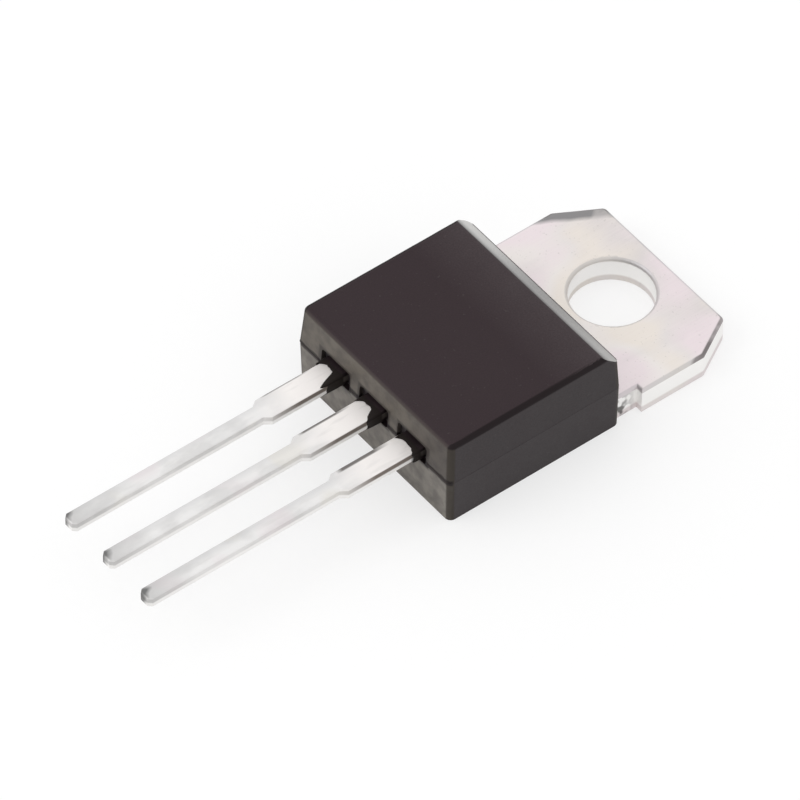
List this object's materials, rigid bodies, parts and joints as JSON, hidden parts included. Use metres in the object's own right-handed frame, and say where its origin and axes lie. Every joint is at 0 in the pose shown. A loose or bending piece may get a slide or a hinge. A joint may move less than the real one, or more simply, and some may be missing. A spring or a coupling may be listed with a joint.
{
  "type": "triac",
  "caption": "Triac in a flat moulded power package with an insulated metal tab, a mounting hole and straight flat leads.",
  "frame": {"origin": "centre of the mounting hole on the underside of the tab, which is the face that is mounted on a heat sink", "axes": "+Z out of the plain moulded face, +Y towards the free end of the tab, leads towards -Y, main terminal 1 at -X, main terminal 2 in the middle, gate at +X"},
  "size_m": [0.0102, 0.0291, 0.0044],
  "materials": {
    "epoxy": "matte",
    "tinned_tab": "satin",
    "tinned_lead": "satin",
    "solder": "satin",
    "copper": "satin",
    "alumina": "matte",
    "silicon": "satin",
    "passivation": "gloss"
  },
  "bodies": {
    "root": {"moulded_body": "epoxy", "heat_sink_tab": "tinned_tab", "main_terminal_1_lead": "tinned_lead", "main_terminal_2_lead": "tinned_lead", "gate_lead": "tinned_lead", "tab_solder": "solder", "pad_solder": "solder", "chip_solder": "solder", "main_terminal_1_chip_solder": "solder", "main_terminal_1_post_solder": "solder", "gate_chip_solder": "solder", "gate_post_solder": "solder", "insulator_lower_foil": "copper", "insulator_upper_foil": "copper", "main_terminal_1_clip": "copper", "gate_clip": "copper", "insulator_ceramic": "alumina", "triac_chip": "silicon", "passivation_glass": "passivation"}
  },
  "joints": []
}
